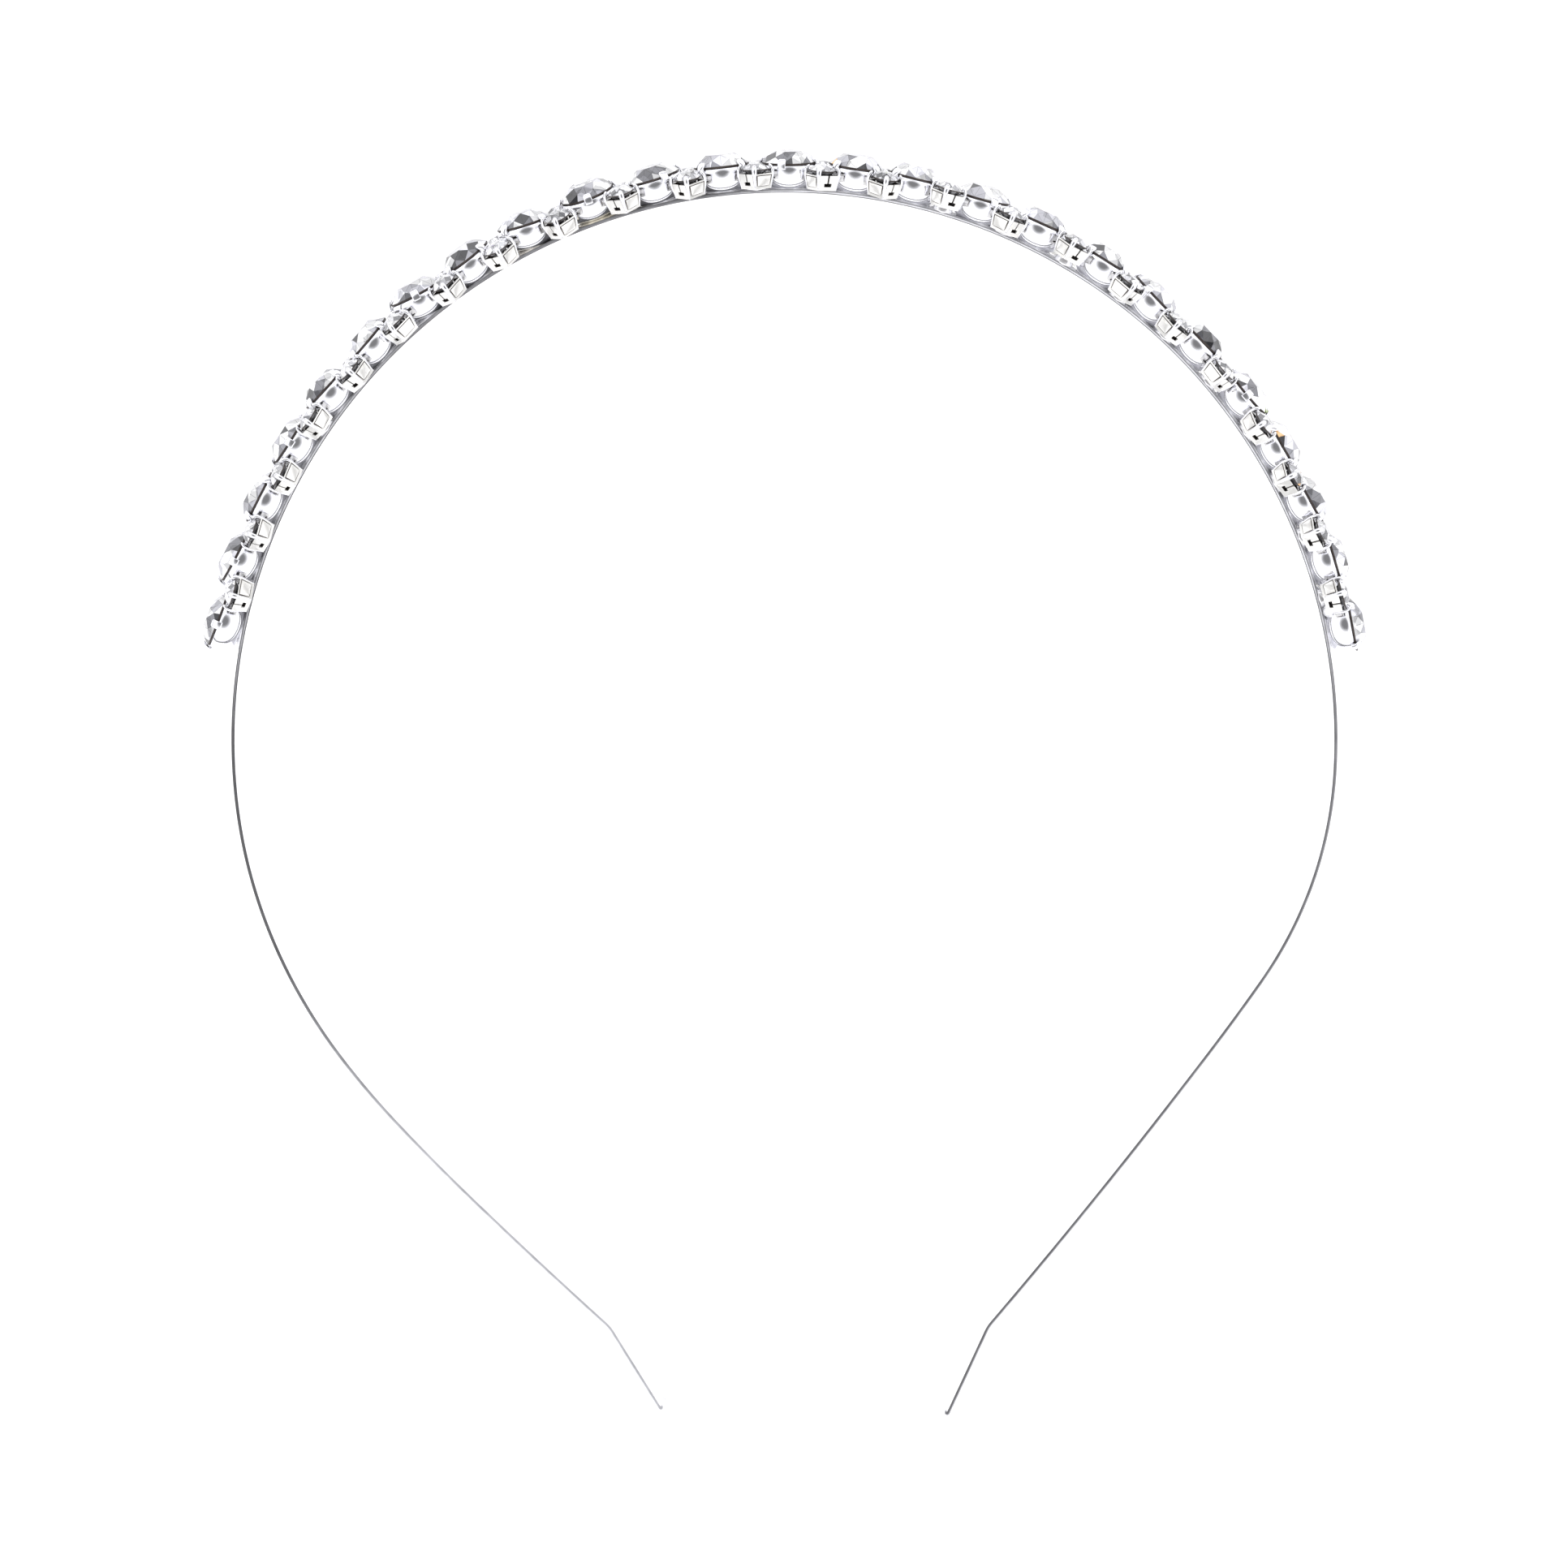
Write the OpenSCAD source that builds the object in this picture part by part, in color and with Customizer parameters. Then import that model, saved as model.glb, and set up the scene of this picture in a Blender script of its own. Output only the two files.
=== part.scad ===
// Crystal headband, lying on its side.
// A thin metal strip stands on its edge and is bent to an arch. Round stones in round cups follow its
// outer face, and a small stone in a square cup sits on each side of every gap between them.
// Millimetres. X runs across the arch, Y from the tips to the top of the arch, and Z across the strip.
// The origin is in the middle of the footprint, on the surface that the headband lies on.

/* [Strip] */
// Width of the arch at its widest, between the middles of the strip
arch_w = 122; // [119:0.5:125]
// Width of the strip, along Z
strip_w = 4.5; // [4:0.1:5]
// Thickness of the strip
strip_t = 0.36; // [0.34:0.02:0.5]
// Length of the straight tip below each kink
tip_len = 10.2; // [8:0.2:12]
// Radius of the roll at each tip, to the middle of the strip
roll_r = 0.34; // [0.34:0.02:0.5]

/* [Row of stones] */
// Number of large stones
large_count = 25; // [21:2:25]
// Angle from one large stone to the next
pitch = 6.5; // [6.45:0.05:6.7]

/* [Large stones] */
// Girdle radius of a large stone
large_r = 3.05; // [2.95:0.05:3.05]
// Height of a large cup, from the strip to its rim
large_cup_h = 2.65; // [2.6:0.05:2.7]
// Height of the crown above the girdle
large_crown_h = 1.2; // [1.15:0.05:1.3]

/* [Small stones] */
// Girdle radius of a small stone
small_r = 1.45; // [1.4:0.05:1.45]
// Side of a square cup
small_side = 2.95; // [2.95:0.05:3]
// Height of the walls of a square cup above the strip
small_wall_h = 1.6; // [1.5:0.05:1.65]
// Distance from the middle of the strip to the middle of a square cup, along Z
small_offset = 3.45; // [3.4:0.05:3.5]

/* [Hidden] */
arch_r = arch_w / 2;
half_t = strip_t / 2;
half_w = strip_w / 2;
face_r = arch_r + half_t;
first_angle = 90 - pitch * (large_count - 1) / 2;

// How far a cup's foot is sunk in the strip
sink = 0.12;

// Sides of the round cups, of the solder under them and of the thin posts
cup_sides = 48;
pad_sides = 32;
post_sides = 24;

// Below the arch a leg is a chain of gentle bends
// Each row: length of the bend, degrees that it turns towards the other leg, steps
LENGTH = 0;
TURN = 1;
STEPS = 2;
left_start = 5;
left_bends = [[33, 32.2, 16], [9, 5.8, 4], [12, 2.9, 3], [20.4, 1.8, 3]];
right_start = 3;
right_bends = [[25.5, 31.5, 16], [11, 2.6, 3], [37.2, 3.2, 4]];
left_kink = [1.2, -16, 4];
right_kink = [1.2, -15.6, 4];
roll_turn = 230;
roll = [roll_r * roll_turn * PI / 180, roll_turn, 20];
arch_step = 2;

// How each large cup is set by hand, from the right-hand end of the row to the left-hand end
// Each row: degrees that it sits off its even place, degrees that it leans along the row,
// degrees that it leans up, degrees that it is turned about its own axis, and how far it is raised on solder
PLACE = 0;
ALONG = 1;
UP = 2;
SPIN = 3;
RISE = 4;
settings = [
    [-0.5, -1, 0, 0, 0.1], [-0.15, -2, -2, 0, 0], [-0.45, 4, 0, 0, 0], [-0.8, -1, 0, 0, 0.1], [-1.25, 3, 2, 45, 0.1],
    [-0.7, 0, -2, 0, 0], [-0.6, -7, -2, 20, 0], [-1.45, 2, -3, 0, 0], [-0.5, 2, -3, 0, 0], [-0.75, 5, 0, -20, 0],
    [0, -1, -2, 0, 0], [-0.6, -1, 0, 0, 0], [-0.5, 1, 0, 30, 0], [-0.25, 0, -2, 0, 0], [0, 4, 1, -20, 0],
    [0.3, 1, 7, 45, 0.3], [1.15, -10, 0, 0, 0], [0.8, 4, 2, 0, 0], [1, -12, 0, 45, 0], [0.4, 4, 0, 0, 0],
    [0.75, -5, -2, 0, 0], [0.3, -1, 0, 45, 0], [0.3, -2, -2, 0, 0], [0.55, -10, 0, 40, 0], [0.5, -9, 0, 40, 0]
];

// How the upper square cup in each gap is set, in the same order
// Each row: degrees that its outer corner is turned towards the left-hand end of the row,
// degrees that it leans out over the edge of the strip, and how far it is raised on solder
CORNER = 0;
OUT = 1;
RAISE = 2;
gap_settings = [
    [10, 0, 0.6], [12, 8, 0.8], [8, 9, 0.7], [5, 8, 0.7], [-14, 2, 0.6], [0, 3, 0.6], [-14, 3, 0.6], [8, 0, 0.9],
    [-5, 0, 0.4], [10, 0, 0.8], [-4, 6, 0.5], [12, 0, 0.3], [4, 0, 0.4], [5, 8, 0.5], [0, 8, 0.6], [11, 12, 0.5],
    [0, 11, 0.4], [3, 11, 0.4], [17, 4, 0.3], [0, 5, 0.3], [9, 5, 0.6], [4, 5, 0.2], [5, 6, 0.3], [2, 6, 0.2]
];

// Large cup: a round wall that swells from a narrow foot to an upright side, and a conical seat
// The lower edge of a leaning cup's foot bites into the strip
foot_r = 1.6;
foot_bite = 0.16;
swell_h = 1.4;
rim_r = large_r + 0.13;
wall_steps = 6;
seat_mouth_r = large_r - 0.03;
seat_floor_r = 0.5;
seat_floor_h = 0.3;
pad_r = 1.4;
pad_h = 0.08;

// Large stone: the gap between the rim and its girdle, and its cut
large_gap = 0.06;
large_girdle_z = large_cup_h + large_gap;
large_girdle_h = 0.2;
large_pavilion_h = 2;
large_table_r = 1.6;
large_star_r = 2.45;
large_top_z = large_girdle_z + large_girdle_h + large_crown_h;

// Prong of a large cup: an upright tab outside the girdle that bends over the crown
prong_w = 0.9;
prong_t = 0.26;
prong_root_h = 0.3;
prong_air = 0.08;
prong_reach = 0.58;

// Square cup: thin walls round a pocket, and a post with a claw at each corner
small_wall_t = 0.2;
small_floor_h = 0.3;
small_pocket = small_side - 2 * small_wall_t;
post_r = 0.27;
post_inset = 0.24;
post_reach = small_side / sqrt(2) - post_inset;
claw_r = 0.25;
claw_len = 0.77;
claw_lean = 22;

// Degrees that every lower square cup leans out, and how far it is raised on solder
lower_out = 6;
lower_raise = 0.2;

// Solder under a raised square cup, by the edge of the strip
small_pad_r = 0.45;
small_pad_in = 0.4;
small_pad_h = 0.1;

// Two facing walls of a square cup have a slot by the floor and a seam from it to the top
slot_w = 0.9;
slot_h = 0.3;
slot_z = 0.32;
seam_w = 0.16;
cut_reach = 1;

// Small stone: the gap between the walls and its girdle, and its cut
small_gap = 0.36;
small_girdle_z = small_wall_h + small_gap;
small_girdle_h = 0.12;
small_pavilion_h = 1.1;
small_crown_h = 0.6;
small_table_r = 0.75;
small_star_r = 1.2;
post_top = small_girdle_z + small_girdle_h;

// Height of the middle of the strip above the surface, which the tops of the lower corner posts touch
lie_z = small_offset + (post_reach + post_r) * cos(lower_out) + post_top * sin(lower_out);

// A large stone's name has two digits
function two_digits(i) = i < 10 ? str("0", i) : str(i);

function large_names() = [for (i = [1:large_count]) str("large_stone_", two_digits(i))];

// Point at angle a on a circle of radius r
function polar(r, a) = [r * cos(a), r * sin(a)];

// Place and heading after a bend: [x, y, heading], where s is the share of the bend that is run
function along(pose, bend, s = 1) =
    let (h = pose[2], turn = -bend[TURN], a = h + turn * s)
    let (r = turn == 0 ? 0 : bend[LENGTH] * 180 / (turn * PI))
    turn == 0
        ? [pose[0] + bend[LENGTH] * s * cos(h), pose[1] + bend[LENGTH] * s * sin(h), h]
        : [pose[0] + r * (sin(a) - sin(h)), pose[1] + r * (cos(h) - cos(a)), a];

// Poses along a chain of bends, without the first one
function run(pose, bends, i = 0) =
    i == len(bends)
        ? []
        : concat(
            [for (k = [1:bends[i][STEPS]]) along(pose, bends[i], k / bends[i][STEPS])],
            run(along(pose, bends[i]), bends, i + 1)
        );

// Poses down the right-hand leg from the end of the arch
function leg(start, bends, kink) =
    run(
        concat(polar(arch_r, -start), [-90 - start]),
        concat(bends, [kink, [tip_len, 0, 1], roll])
    );

function mirrored(poses) = [for (i = [len(poses) - 1:-1:0]) [-poses[i][0], poses[i][1], -poses[i][2]]];

// Poses from the left tip over the arch to the right tip, all heading from left to right
arch_poses = [
    for (a = [180 + left_start:-arch_step:-right_start]) concat(polar(arch_r, a), [a - 90])
];
left_leg = mirrored(leg(left_start, left_bends, left_kink));
right_leg = leg(right_start, right_bends, right_kink);
strip_poses = concat(left_leg, arch_poses, right_leg);

// The middle stone's table, tilted as its cup is, is the farthest point ahead
middle = floor(large_count / 2);
top_y = face_r + lift(middle) + large_top_z * cos(lean(middle)) + large_table_r * sin(lean(middle));
bottom_y = min([for (p = strip_poses) p[1]]) - half_t;
arch_y = -(top_y + bottom_y) / 2;

// One side of the strip, moved out by half its thickness
function side(poses, out) = [for (p = poses) [p[0] - out * sin(p[2]), p[1] + out * cos(p[2])]];

function reversed(list) = [for (i = [len(list) - 1:-1:0]) list[i]];

// Angle of large cup i on the arch
function large_angle(i) = first_angle + pitch * i + settings[i][PLACE];

// Angle of the middle of its girdle, which the lean along the row moves on
function girdle_angle(i) = large_angle(i) + large_girdle_z * sin(settings[i][ALONG]) / arch_r * 180 / PI;

// Angle of the pair of square cups between large cups i and i + 1
function small_angle(i) = (girdle_angle(i) + girdle_angle(i + 1)) / 2;

// How far large cup i leans in all
function lean(i) = norm([settings[i][ALONG], settings[i][UP]]);

// How far the foot of large cup i is lifted
function lift(i) = settings[i][RISE] + max(0, foot_r * sin(lean(i)) - foot_bite);

// How far its foot slides across the strip so that its stone stays over the middle
function slide(i) = large_girdle_z * sin(settings[i][UP]);

// Stands children on the outer face of the strip at angle a, with their Z axis pointing outwards
module on_face(a) {
    translate([0, arch_y, lie_z])
        rotate([0, 0, a])
            translate([face_r, 0, 0])
                rotate([0, 90, 0])
                    children();
}

// Lifts, leans and turns children the way large cup i is set
module as_set(i) {
    set = settings[i];
    translate([slide(i), 0, lift(i)])
        rotate([-set[ALONG], 0, 0])
            rotate([0, -set[UP], 0])
                rotate([0, 0, set[SPIN]])
                    children();
}

module strip() {
    translate([0, arch_y, lie_z - half_w])
        linear_extrude(height = strip_w)
            polygon(concat(side(strip_poses, half_t), reversed(side(strip_poses, -half_t))));
}

// Outer wall of a large cup: a quarter of an ellipse, then straight up to the rim
function wall_points() = concat(
    [
        for (k = [0:wall_steps])
            let (a = 90 * k / wall_steps)
            [foot_r + (rim_r - foot_r) * sin(a), swell_h * (1 - cos(a))]
    ],
    [[rim_r, large_cup_h]]
);

// The inner side of the bent tip runs along the crown, with the same air as beside the girdle
module large_prong() {
    inner = large_r + prong_air;
    root_z = large_cup_h - prong_root_h;
    bend_z = large_girdle_z + large_girdle_h;
    slope = atan2(large_r - large_table_r, large_crown_h);
    tip = [inner - prong_reach * tan(slope), bend_z + prong_reach];
    rotate([90, 0, 0])
        translate([0, 0, -prong_w / 2])
            linear_extrude(height = prong_w)
                polygon([
                    [inner, root_z],
                    [inner + prong_t, root_z],
                    [inner + prong_t, bend_z],
                    tip + polar(prong_t, slope),
                    tip,
                    [inner, bend_z]
                ]);
}

module large_cup() {
    rotate_extrude($fn = cup_sides)
        polygon(concat(
            [[0, -sink], [foot_r, -sink]],
            wall_points(),
            [[seat_mouth_r, large_cup_h], [seat_floor_r, seat_floor_h], [0, seat_floor_h]]
        ));
    for (k = [0:3])
        rotate([0, 0, 45 + 90 * k])
            large_prong();
}

// Solder that fills the gap under a leaning cup, always well inside its foot
module solder_pad(i) {
    translate([slide(i), 0, -sink])
        cylinder(r = pad_r, h = sink + lift(i) + pad_h, $fn = pad_sides);
}

module corner_post() {
    translate([post_reach, 0, -sink])
        cylinder(r = post_r, h = sink + post_top, $fn = post_sides);
    translate([post_reach, 0, small_girdle_z])
        rotate([0, -claw_lean, 0])
            cylinder(r = claw_r, h = claw_len, $fn = post_sides);
}

// The two walls with a slot and a seam face the same way as the local XY diagonal from +X -Y to -X +Y
module small_cup() {
    rotate([0, 0, 45])
        difference() {
            translate([-small_side / 2, -small_side / 2, -sink])
                cube([small_side, small_side, sink + small_wall_h]);
            translate([-small_pocket / 2, -small_pocket / 2, small_floor_h])
                cube([small_pocket, small_pocket, small_wall_h]);
            for (k = [-1, 1])
                translate([0, k * small_side / 2, slot_z]) {
                    translate([-slot_w / 2, -cut_reach / 2, 0])
                        cube([slot_w, cut_reach, slot_h]);
                    translate([-seam_w / 2, -cut_reach / 2, 0])
                        cube([seam_w, cut_reach, small_wall_h]);
                }
        }
    for (k = [0:3])
        rotate([0, 0, 90 * k])
            corner_post();
}

// How the square cup in gap i is set on one side: the lower row is not turned, and is set evenly
function gap_set(i, z_side) = z_side > 0 ? gap_settings[i] : [0, lower_out, lower_raise];

// Places children in the square cups on one side of the strip
// The base of a leaning cup stays as high over the edge of the strip as it is raised
// A quarter turn where it is needed puts the slotted walls on the side away from the top of the arch
module small_places(z_side) {
    for (i = [0:large_count - 2]) {
        set = gap_set(i, z_side);
        quarter = z_side * cos(small_angle(i)) > 0 ? 90 : 0;
        on_face(small_angle(i))
            translate([-z_side * small_offset, 0, set[RAISE] - (small_offset - half_w) * tan(set[OUT])])
                rotate([0, -z_side * set[OUT], 0])
                    rotate([0, 0, quarter - z_side * set[CORNER]])
                        children();
    }
}

// Solder between the strip and the square cups on one side
module small_pads(z_side) {
    for (i = [0:large_count - 2])
        on_face(small_angle(i))
            translate([-z_side * (half_w - small_pad_in), 0, -sink])
                cylinder(r = small_pad_r, h = sink + gap_set(i, z_side)[RAISE] + small_pad_h, $fn = pad_sides);
}

module frame() {
    color("silver") {
        strip();
        for (i = [0:large_count - 1])
            on_face(large_angle(i)) {
                solder_pad(i);
                as_set(i)
                    large_cup();
            }
        for (z_side = [-1, 1]) {
            small_pads(z_side);
            small_places(z_side)
                small_cup();
        }
    }
}

// Ring of n points of radius r at height z, turned by a
function ring(r, z, n, a = 0) = [for (k = [0:n - 1]) concat(polar(r, 360 * k / n + a), [z])];

// Round cut stone: a point below, a girdle of 16 sides, 8 kites and 8 star facets round a flat table
module cut_stone(r, girdle, pavilion, star_r, table_r, crown) {
    n = 16;
    half = n / 2;
    top = girdle + crown;
    // The star points lie in the planes of the kites, which run from the table to the girdle
    star_z = top - (star_r * cos(180 / half) - table_r) * crown / (r - table_r);
    low = 1;
    high = low + n;
    star = high + n;
    table = star + half;
    points = concat(
        [[0, 0, -pavilion]],
        ring(r, 0, n),
        ring(r, girdle, n),
        ring(star_r, star_z, half, 180 / half),
        ring(table_r, top, half)
    );
    polyhedron(
        points = points,
        faces = concat(
            [for (k = [0:n - 1]) let (next = (k + 1) % n) each [
                [0, low + k, low + next],
                [low + k, high + k, low + next],
                [low + next, high + k, high + next]
            ]],
            [for (k = [0:half - 1])
                let (next = (k + 1) % half, main = high + 2 * k, between = main + 1, main_next = high + 2 * next)
                each [
                    [main, star + k, between],
                    [between, star + k, main_next],
                    [main, table + k, star + k],
                    [star + k, table + next, main_next],
                    [table + k, table + next, star + k]
                ]
            ],
            [[for (k = [half - 1:-1:0]) table + k]]
        )
    );
}

module large_stone(i) {
    color("aliceblue")
        on_face(large_angle(i))
            as_set(i)
                translate([0, 0, large_girdle_z])
                    cut_stone(
                        large_r, large_girdle_h, large_pavilion_h,
                        large_star_r, large_table_r, large_crown_h
                    );
}

module small_stones(z_side) {
    color("lavender")
        small_places(z_side)
            translate([0, 0, small_girdle_z])
                cut_stone(
                    small_r, small_girdle_h, small_pavilion_h,
                    small_star_r, small_table_r, small_crown_h
                );
}

frame();
for (i = [0:large_count - 1])
    large_stone(i);
small_stones(1);  // small_stones_upper
small_stones(-1);  // small_stones_lower
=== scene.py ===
"""Dresses the crystal headband: its strip, cups, prongs, stones and solder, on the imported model.

Sizes are in millimetres until a mesh is made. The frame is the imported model's: Z is up, across the strip,
Y runs towards the top of the arch, and X across it.
"""

from __future__ import annotations

import logging
from dataclasses import dataclass
from enum import Enum

import bpy
import numpy as np
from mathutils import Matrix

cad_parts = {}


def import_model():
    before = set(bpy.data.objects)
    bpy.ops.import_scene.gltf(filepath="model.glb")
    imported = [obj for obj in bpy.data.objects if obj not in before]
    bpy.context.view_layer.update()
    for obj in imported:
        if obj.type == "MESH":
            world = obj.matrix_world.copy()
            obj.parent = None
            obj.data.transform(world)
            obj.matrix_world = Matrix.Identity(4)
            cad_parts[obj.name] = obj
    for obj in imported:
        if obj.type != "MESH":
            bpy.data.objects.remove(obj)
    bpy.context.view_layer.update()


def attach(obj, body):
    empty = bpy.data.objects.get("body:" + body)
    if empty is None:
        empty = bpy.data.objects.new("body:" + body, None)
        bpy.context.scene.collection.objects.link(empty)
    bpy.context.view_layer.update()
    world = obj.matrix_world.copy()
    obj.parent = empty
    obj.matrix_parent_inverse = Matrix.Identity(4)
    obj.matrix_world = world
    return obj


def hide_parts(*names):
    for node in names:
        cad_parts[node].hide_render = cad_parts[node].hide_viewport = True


Array = np.ndarray
Batch = tuple[Array, int, bool]
Triple = tuple[float, float, float]
Colour = Triple
Pair = tuple[float, float]
Values = dict[str | int, object]
Tree = bpy.types.NodeTree
Node = bpy.types.Node
Material = bpy.types.Material
Object = bpy.types.Object
LOG = logging.getLogger("headband")
MM = 0.001
ARCH_Y = 5.1605
LIE_Z = 5.7718
ARCH_R = 61.0
STRIP_T = 0.36
STRIP_W = 4.5
FACE_R = ARCH_R + STRIP_T / 2
SEED = 7
# Name of the colour layer that carries painted reflections and shade on the strip and the stones
PAINTED_LIGHT_LAYER = "tint"
# Numbers of a colour mix's sockets
MIX_FIRST, MIX_SECOND, MIX_RESULT = 6, 7, 2


class Side(Enum):
    """The two rows of small stones, as the headband lies."""

    UPPER = 1
    LOWER = -1


class Axis(Enum):
    """Axes to turn about, each with the numbers of the two axes that move: the first towards the second."""

    X = (1, 2)
    Y = (2, 0)
    Z = (0, 1)


def stacked(*columns: Array | float) -> Array:
    """Puts numbers side by side along a last axis, after they are spread to one shape."""
    return np.stack(np.broadcast_arrays(*columns), axis=-1)


def spin(axis: Axis, degrees: Array) -> Array:
    """Turns about an axis. With angle a, each matrix has cos a twice, -sin a and sin a on the moving axes.

    Args:
        axis: the axis that stays.
        degrees: one angle for each matrix.

    Returns:
        Matrices, shape (n, 3, 3).
    """
    a = np.radians(degrees)
    first, second = axis.value
    matrices = np.tile(np.eye(3), (len(a), 1, 1))
    matrices[:, first, first] = matrices[:, second, second] = np.cos(a)
    matrices[:, first, second] = -np.sin(a)
    matrices[:, second, first] = np.sin(a)
    return matrices


@dataclass(frozen=True)
class Stands:
    """Places for copies of a shape: an origin and a matrix of axes for each."""

    origins: Array
    axes: Array

    def shifted(self, offsets: Array | Triple) -> Stands:
        """Moves each place by its own offset, or all by one, measured along its own axes."""
        return Stands(self.origins + (self.axes @ np.asarray(offsets)[..., None])[..., 0], self.axes)

    def turned(self, matrices: Array) -> Stands:
        """Turns each place about its own origin, by its own matrix."""
        return Stands(self.origins, self.axes @ matrices)


def on_face(angles: Array) -> Stands:
    """Places on the strip's outer face, at angles about the arch's centre.

    Z points outwards from the centre, Y along the face towards larger angles, and X down.

    Args:
        angles: degrees, one for each place.

    Returns:
        The places.
    """
    a = np.radians(angles)
    c, s = np.cos(a), np.sin(a)
    outward = stacked(c, s, 0)
    origins = outward * FACE_R + np.array([0, ARCH_Y, LIE_Z])
    return Stands(origins, stacked((0, 0, -1.0), stacked(-s, c, 0), outward))


@dataclass
class Surface:
    """Points, and batches of faces with equal numbers of corners, each with a finish and a shading."""

    points: Array
    batches: list[Batch]

    def copied(self, stands: Stands) -> Surface:
        """One copy at each place: a copy's point is the origin plus the axes times the point.

        Args:
            stands: the places.

        Returns:
            All copies as one surface.
        """
        count, size = len(stands.origins), len(self.points)
        points = stands.origins[:, None] + np.einsum("nij,mj->nmi", stands.axes, self.points)
        shift = (np.arange(count) * size)[:, None, None]
        batches = [((f[None] + shift).reshape(-1, f.shape[1]), k, s) for f, k, s in self.batches]
        return Surface(points.reshape(-1, 3), batches)


def joined(surfaces: list[Surface]) -> Surface:
    """Puts surfaces together: each one's face numbers move up by the points before it.

    Args:
        surfaces: the surfaces, in order.

    Returns:
        One surface.
    """
    starts = np.cumsum([0] + [len(s.points) for s in surfaces[:-1]])
    batches = [(f + n, k, s) for part, n in zip(surfaces, starts) for f, k, s in part.batches]
    return Surface(np.concatenate([s.points for s in surfaces]), batches)


def grid_faces(rows: int, columns: int) -> Array:
    """Four-sided faces of a grid whose columns close into a ring.

    A face joins column c to c + 1 in row r, and the same two in row r + 1.

    Args:
        rows: rows of points.
        columns: points in a row.

    Returns:
        Point numbers, shape ((rows - 1) * columns, 4).
    """
    r, c = np.meshgrid(np.arange(rows - 1), np.arange(columns), indexing="ij")
    following = (c + 1) % columns
    here, above = r * columns, (r + 1) * columns
    return stacked(here + c, here + following, above + following, above + c).reshape(-1, 4)


def tube(rows: Array, finish: int | Array = 0) -> Surface:
    """A closed skin over rings of points, with a flat face on each end.

    Args:
        rows: shape (rows, columns, 3); a ring runs anticlockwise about the way the rows go.
        finish: number of its material, or a number for each face of the grid.

    Returns:
        The skin. Its faces come in the order of their finishes' numbers, and the ends last.
    """
    count, columns = rows.shape[:2]
    last = (count - 1) * columns + np.arange(columns)
    ends = np.stack([np.arange(columns)[::-1], last])
    faces = grid_faces(count, columns)
    picks = np.broadcast_to(finish, (count - 1, columns)).ravel()
    batches = [(faces[picks == k], int(k), True) for k in np.unique(picks)]
    batches += [(ends[:1], int(picks[0]), False), (ends[1:], int(picks[-1]), False)]
    return Surface(rows.reshape(-1, 3), batches)


def revolved(profile: Array, segments: int, finish: Array) -> Surface:
    """A profile carried round Z: a point is (r cos a, r sin a, z).

    Args:
        profile: rows of r and z, running up the outside.
        segments: steps of a in a full turn.
        finish: number of the material of each step of the profile.

    Returns:
        The skin, closed at both ends.
    """
    a = np.arange(segments) * 2 * np.pi / segments
    r, z = profile[:, :1], profile[:, 1:]
    return tube(stacked(r * np.cos(a), r * np.sin(a), z), finish[:, None])


def prism(outline: Array, low: float, high: float, finish: int = 0) -> Surface:
    """A flat outline in X and Z, carried along Y from high to low, with its back in painted shade.

    Args:
        outline: rows of x and z, anticlockwise as seen from the low side.
        low: Y of the front.
        high: Y of the back.
        finish: number of the material of its front and sides.

    Returns:
        The closed plate.
    """
    x, z = outline.T
    skin = tube(np.array([stacked(x, y, z) for y in (high, low)]))
    sides, back, front = (f for f, _, _ in skin.batches)
    return Surface(skin.points, [(sides, finish, False), (back, 1, False), (front, finish, False)])


def rounded_box(half_x: float, half_y: float, radius: float) -> Array:
    """Outline of a rectangle with round corners: four quarter circles joined by straight lines.

    Args:
        half_x: half its width.
        half_y: half its height.
        radius: radius of a corner.

    Returns:
        Rows of x and y, anticlockwise.
    """
    a = np.radians(np.arange(4)[:, None] * 90 + np.linspace(0, 90, 4))
    signs = np.array([[1, 1], [-1, 1], [-1, -1], [1, -1]])[:, None]
    centres = signs * np.array([half_x - radius, half_y - radius])
    return (centres + radius * stacked(np.cos(a), np.sin(a))).reshape(-1, 2)


def shown(name: str, surface: Surface, materials: list[Material], tints: Array | None = None,
          bevel: float = 0.0) -> Object:
    """Makes a mesh object of a surface, with its place in its mesh, in metres.

    Args:
        name: the piece's name.
        surface: its points and faces.
        materials: its finishes, in the order of their numbers.
        tints: a colour of painted light for each face, or none.
        bevel: width of the rounding of its edges, in millimetres, or 0.

    Returns:
        The object.
    """
    batches, finishes, smooth = zip(*surface.batches)
    sizes = [len(batch) for batch in batches]
    mesh = bpy.data.meshes.new(name)
    faces = [face for batch in batches for face in batch.tolist()]
    mesh.from_pydata((surface.points * MM).tolist(), [], faces)
    mesh.polygons.foreach_set("material_index", np.repeat(finishes, sizes).astype(np.int32))
    mesh.polygons.foreach_set("use_smooth", np.repeat(smooth, sizes).astype(bool))
    for material in materials:
        mesh.materials.append(material)
    if tints is not None:
        corners = np.repeat([batch.shape[1] for batch in batches], sizes)
        layer = mesh.color_attributes.new(PAINTED_LIGHT_LAYER, "FLOAT_COLOR", "CORNER")
        layer.data.foreach_set("color", np.repeat(tints, corners, axis=0).astype(np.float32).ravel())
    mesh.update()
    piece = bpy.data.objects.new(name, mesh)
    bpy.context.scene.collection.objects.link(piece)
    if bevel:
        rounding = piece.modifiers.new("rounding", "BEVEL")
        rounding.width = bevel * MM
        rounding.segments = 2
        rounding.limit_method = "ANGLE"
    return piece


def put(node: Node, values: Values) -> None:
    """Sets input sockets of a node, by name or number."""
    for key, value in values.items():
        node.inputs[key].default_value = value


def link(source: Node, output: str | int, target: Node, socket: str | int) -> None:
    """Feeds an input socket of one node from an output of another."""
    source.id_data.links.new(source.outputs[output], target.inputs[socket])


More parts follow.
